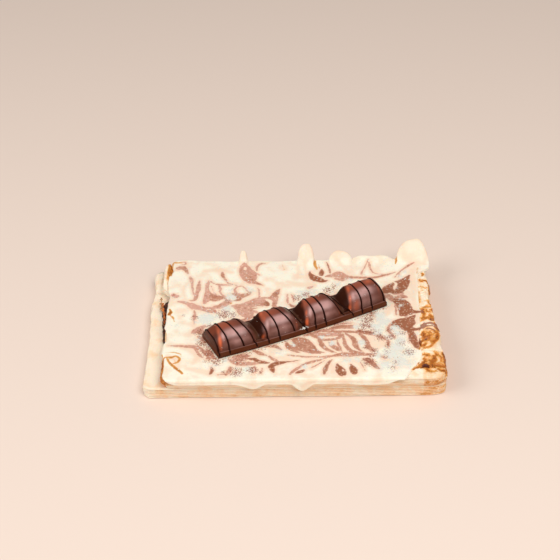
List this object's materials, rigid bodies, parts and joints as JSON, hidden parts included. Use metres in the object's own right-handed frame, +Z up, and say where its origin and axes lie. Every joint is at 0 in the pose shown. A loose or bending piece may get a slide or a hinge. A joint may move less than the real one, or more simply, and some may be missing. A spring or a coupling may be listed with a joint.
{
  "type": "crepe",
  "caption": "Folded dessert crepe with a dark filling, a poured white chocolate coat marbled with milk chocolate, and a drizzled chocolate wafer bar lying on top.",
  "frame": {"origin": "middle of the underside of the part's bounding box, on the surface the crepe rests on", "axes": "+X along the crepe towards its gathered, browned end; +Y towards the back edge with the upturned lobes of coating; +Z up"},
  "size_m": [0.1844, 0.124, 0.0315],
  "materials": {
    "crepe": "soft matt cooked batter, pale with golden brown patches",
    "nutty_filling": "dark, thick chocolate and nut spread, slightly glossy",
    "white_chocolate": "satin set white chocolate",
    "milk_chocolate": "smooth glossy milk chocolate with darker drizzle"
  },
  "bodies": {
    "root": {"crepe_lower_fold": "crepe", "crepe_upper_fold": "crepe", "filling": "nutty_filling", "white_chocolate_coat": "white_chocolate", "wafer_bar": "milk_chocolate"}
  },
  "joints": []
}
